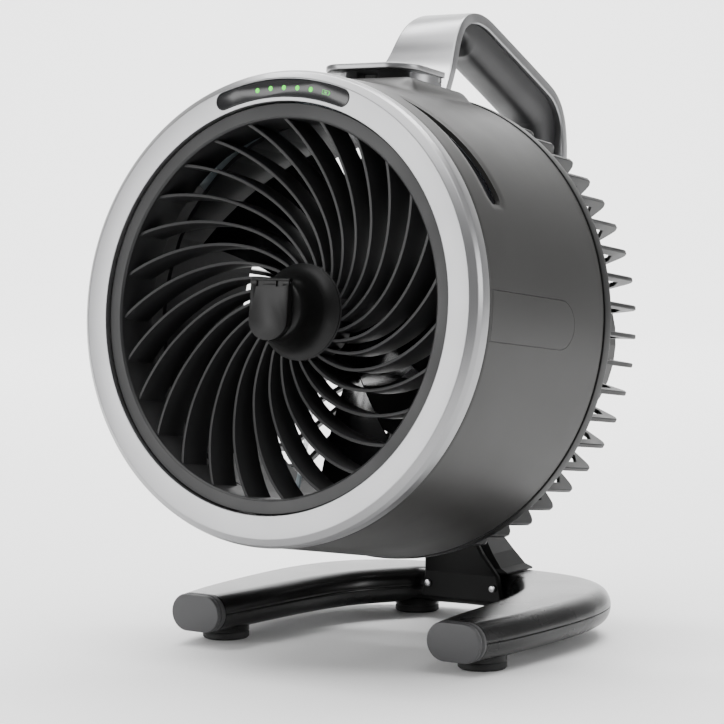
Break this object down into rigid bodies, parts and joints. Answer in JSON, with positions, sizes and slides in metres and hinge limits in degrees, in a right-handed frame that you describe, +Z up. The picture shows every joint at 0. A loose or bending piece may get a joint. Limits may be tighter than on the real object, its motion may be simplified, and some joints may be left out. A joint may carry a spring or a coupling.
{
  "type": "misting table fan",
  "caption": "Portable round table fan with a swirl front grille, misting nozzle, top fill lid and strap handle, on a tilting neck over a U-shaped base.",
  "frame": {"origin": "centre of the bounding box's bottom face, on the floor under the four foot pads", "axes": "+Z up, the bezel faces -Y and tilts back a little at rest, +X to the right as seen from the front, X = 0 is the mid plane"},
  "size_m": [0.2524, 0.2931, 0.342],
  "materials": {
    "satin_silver": "satin silver paint",
    "charcoal": "satin charcoal paint",
    "black_plastic": "satin black",
    "dark_grey_plastic": "matt dark grey",
    "cap_grey": "matt grey",
    "gloss_black": "gloss black",
    "soft_grip": "soft-touch black",
    "rubber": "matt",
    "steel": "brushed",
    "copper_windings": "enamelled wire",
    "led_green": "lit green",
    "clear_plastic": "clear",
    "battery_blue": "shrink-wrapped cells",
    "board_green": "solder mask"
  },
  "bodies": {
    "base": {"base_top_shell": "black_plastic", "base_bottom_shell": "black_plastic", "end_cap_l": "cap_grey", "end_cap_r": "cap_grey", "foot_pad_fl": "rubber", "foot_pad_fr": "rubber", "foot_pad_rl": "rubber", "foot_pad_rr": "rubber", "neck_post": "black_plastic", "neck_cover": "black_plastic", "neck_screw_l": "steel", "neck_screw_r": "steel", "tilt_pin": "steel", "tilt_washer_l": "rubber", "tilt_washer_r": "rubber"},
    "head": {"bezel_ring": "satin_silver", "display_window": "gloss_black", "light_guide": "led_green", "drum_shell": "charcoal", "slot_insert_l": "gloss_black", "slot_insert_r": "gloss_black", "side_panel_l": "charcoal", "side_panel_r": "charcoal", "front_grille": "dark_grey_plastic", "hub_housing": "black_plastic", "mist_nozzle": "steel", "nozzle_hinge_pin": "steel", "mist_feed_line": "clear_plastic", "duct_shroud": "dark_grey_plastic", "motor_housing": "steel", "motor_stator": "copper_windings", "bearing_front": "steel", "bearing_rear": "steel", "motor_mount": "black_plastic", "rear_grille": "black_plastic", "rear_pod": "charcoal", "pod_cover": "charcoal", "charge_inlet": "black_plastic", "battery_pack": "battery_blue", "control_board": "board_green", "head_bracket": "dark_grey_plastic", "water_tank": "clear_plastic", "water_pump": "dark_grey_plastic", "supply_hose": "clear_plastic", "lid_hinge_pin": "steel", "handle_strap": "satin_silver", "handle_grip": "soft_grip", "handle_screw_l": "steel", "handle_screw_r": "steel"},
    "impeller": {"impeller": "gloss_black", "motor_shaft": "steel", "spinner_nut": "black_plastic"},
    "nozzle_flap": {"nozzle_cover": "black_plastic"},
    "lid": {"fill_lid": "satin_silver", "lid_gasket": "rubber"},
    "mist_key": {"mist_button": "dark_grey_plastic"},
    "power_key": {"power_button": "dark_grey_plastic"},
    "speed_key": {"speed_button": "dark_grey_plastic"}
  },
  "joints": [
    {"name": "head_tilt", "type": "hinge", "parent": "base", "child": "head", "pos_m": [0, 0.0389, 0.066], "axis": [1, 0, 0], "range_deg": [-20, 12]},
    {"name": "impeller_spin", "type": "hinge", "parent": "head", "child": "impeller", "pos_m": [0, -0.0541, 0.17584], "axis": [0, 0.9937, -0.112], "continuous": true},
    {"name": "nozzle_cover_flip", "type": "hinge", "parent": "head", "child": "nozzle_flap", "pos_m": [0, -0.13078, 0.19736], "axis": [-1, 0, 0], "range_deg": [0, 100]},
    {"name": "fill_lid_open", "type": "hinge", "parent": "head", "child": "lid", "pos_m": [0, -0.0147, 0.30222], "axis": [-1, 0, 0], "range_deg": [0, 85]},
    {"name": "mist_button_press", "type": "slide", "parent": "head", "child": "mist_key", "axis": [0, -0.9937, 0.112], "range_m": [0, 0.0015], "stiffness_N_per_m": 300},
    {"name": "power_button_press", "type": "slide", "parent": "head", "child": "power_key", "axis": [0, -0.9937, 0.112], "range_m": [0, 0.0015], "stiffness_N_per_m": 300},
    {"name": "speed_button_press", "type": "slide", "parent": "head", "child": "speed_key", "axis": [0, -0.9937, 0.112], "range_m": [0, 0.0015], "stiffness_N_per_m": 300}
  ]
}
